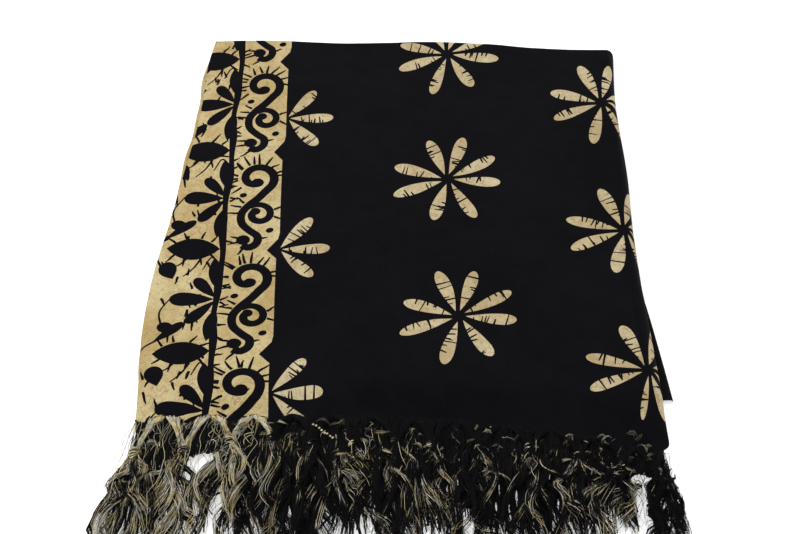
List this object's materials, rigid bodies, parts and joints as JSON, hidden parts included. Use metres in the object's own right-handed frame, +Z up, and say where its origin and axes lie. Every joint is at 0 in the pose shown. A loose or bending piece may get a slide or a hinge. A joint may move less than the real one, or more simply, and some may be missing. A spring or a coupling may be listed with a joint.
{
  "type": "folded fringed sarong",
  "caption": "Printed sarong folded flat into a rectangle, with layered edges, a rounded centre fold and a knotted self fringe of spread tassels along its near edge.",
  "frame": {"origin": "middle of the footprint, on the surface that the folded cloth rests on", "axes": "+X along the fringed hem to the centre fold, +Y from the fringe to the far fold, +Z up"},
  "size_m": [0.6094, 0.774, 0.019],
  "materials": {
    "printed_rayon": "soft matt cloth, black ground with a cream flower and scroll print",
    "fringe_yarn": "soft fluffy yarn, black mixed with cream"
  },
  "bodies": {
    "root": {"top_panel": "printed_rayon", "folded_layers": "printed_rayon", "tassel_01": "fringe_yarn", "tassel_02": "fringe_yarn", "tassel_03": "fringe_yarn", "tassel_04": "fringe_yarn", "tassel_05": "fringe_yarn", "tassel_06": "fringe_yarn", "tassel_07": "fringe_yarn", "tassel_08": "fringe_yarn", "tassel_09": "fringe_yarn", "tassel_10": "fringe_yarn", "tassel_11": "fringe_yarn", "tassel_12": "fringe_yarn", "tassel_13": "fringe_yarn"}
  },
  "joints": []
}
